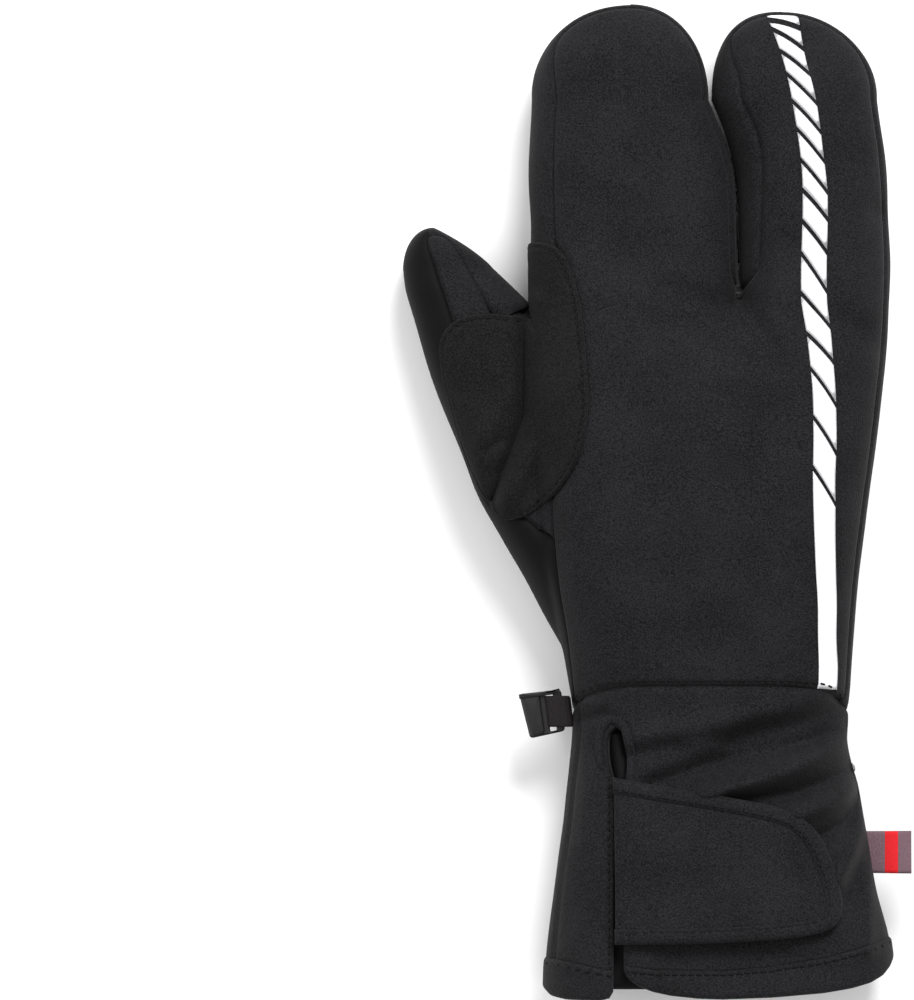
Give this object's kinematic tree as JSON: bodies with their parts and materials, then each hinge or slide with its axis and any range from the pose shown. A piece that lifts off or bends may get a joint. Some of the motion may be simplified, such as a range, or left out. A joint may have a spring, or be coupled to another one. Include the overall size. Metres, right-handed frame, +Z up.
{
  "type": "winter glove",
  "caption": "Right-hand padded winter glove with a thumb, two finger lobes, a flared gauntlet cuff with a slit and strap, a reflective stripe and grip patches, lying palm down.",
  "frame": {"origin": "centre of the bounding box in plan, on the surface the glove lies on", "axes": "+Y to the fingertips, +Z up out of the back of the hand, the thumb on the -X side"},
  "size_m": [0.1638, 0.32, 0.053],
  "materials": {
    "softshell": "matte black stretch softshell with a fine grain",
    "smooth_panel": "smooth, denser black fabric",
    "grip_patch": "thin black suede-like grip material with printed silicone",
    "reflective": "white reflective transfer",
    "webbing": "ribbed grey webbing",
    "clip_plastic": "satin moulded plastic",
    "tag": "woven tape with a plain red band"
  },
  "bodies": {
    "root": {"back_panel": "softshell", "palm_panel": "softshell", "thumb_back": "softshell", "thumb_palm": "softshell", "thumb_outer": "smooth_panel", "index_side_gusset": "softshell", "finger_fourchette": "softshell", "little_side_gusset": "softshell", "saddle_patch": "grip_patch", "knuckle_patch": "grip_patch", "heel_patch": "grip_patch", "reflective_stripe": "reflective", "cuff_gauntlet": "softshell", "cuff_hem": "softshell", "slit_underlap": "smooth_panel", "slit_binding": "softshell", "wrist_strap": "softshell", "strap_binding": "softshell", "clip_webbing": "webbing", "clip": "clip_plastic", "side_tag": "tag"}
  },
  "joints": []
}
